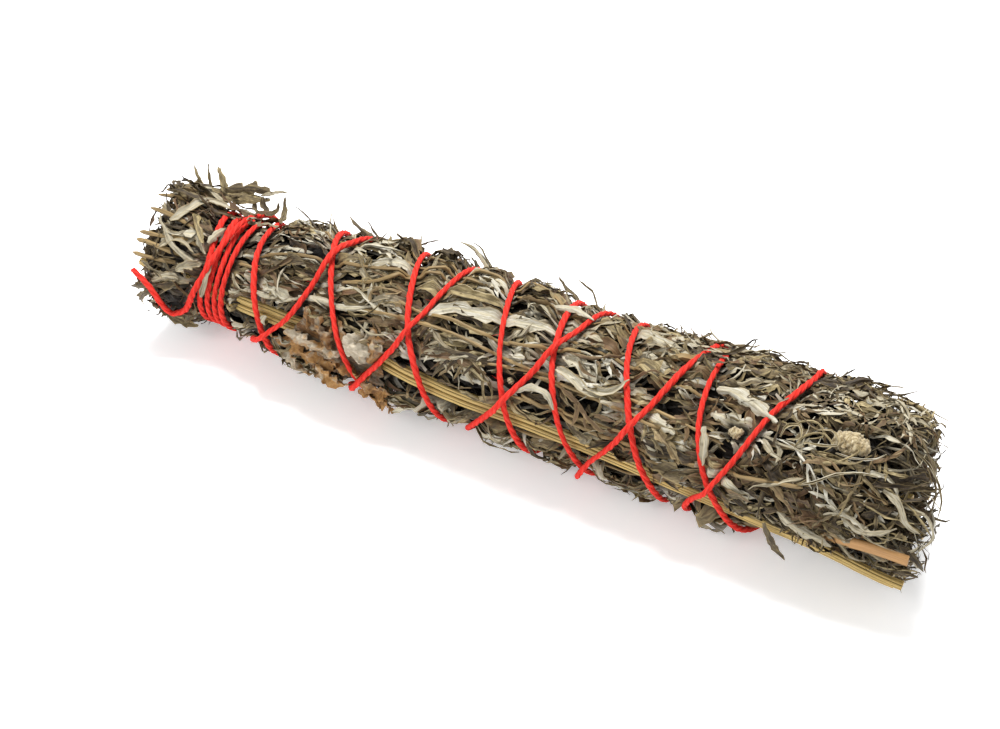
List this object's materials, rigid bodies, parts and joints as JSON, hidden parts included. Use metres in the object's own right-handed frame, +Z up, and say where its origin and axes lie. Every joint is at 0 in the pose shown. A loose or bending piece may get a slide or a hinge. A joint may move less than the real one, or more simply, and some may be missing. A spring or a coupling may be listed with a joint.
{
  "type": "mugwort smudge stick",
  "caption": "Bundle of dried leafy sprigs and bare stalks lying on its side, bound with crossing turns of red cotton string and tied near one end.",
  "frame": {"origin": "on the surface that the stick lies on, under the middle of the bundle", "axes": "+X along the bundle, from its tied end to its cut end; +Z up, away from the surface; -Y the side that the picture shows"},
  "size_m": [0.2287, 0.0457, 0.0436],
  "materials": {
    "mugwort_leaf": "matt, dry, crumpled leaf, olive brown",
    "mugwort_leaf_pale": "matt, dry leaf with its pale felted underside showing",
    "mugwort_leaf_dark": "matt, dry, dark rolled leaf",
    "dry_stalk": "satin, dry ribbed stalk, straw yellow",
    "dark_stalk": "satin, dry stalk, dark brown",
    "orange_stalk": "satin, dry peeled stalk, orange brown",
    "bud_wool": "soft, woolly, cream",
    "brown_leaf": "papery, crumpled, orange brown",
    "red_cotton": "matt, softly twisted cotton, bright red"
  },
  "bodies": {
    "root": {"leafy_sprig_1": "mugwort_leaf", "leafy_sprig_2": "mugwort_leaf_pale", "leafy_sprig_3": "mugwort_leaf_dark", "leafy_sprig_4": "mugwort_leaf", "leafy_sprig_5": "mugwort_leaf_dark", "leafy_sprig_6": "mugwort_leaf_pale", "leafy_sprig_7": "mugwort_leaf_dark", "stalk_1": "dry_stalk", "stalk_2": "dark_stalk", "stalk_3": "dry_stalk", "stalk_4": "dark_stalk", "stalk_5": "dry_stalk", "stalk_6": "dry_stalk", "front_stalk_1": "dry_stalk", "front_stalk_2": "dry_stalk", "front_stalk_3": "orange_stalk", "bud_cluster_1": "bud_wool", "bud_cluster_2": "bud_wool", "bud_cluster_3": "bud_wool", "brown_leaf": "brown_leaf", "binding_string": "red_cotton"}
  },
  "joints": []
}
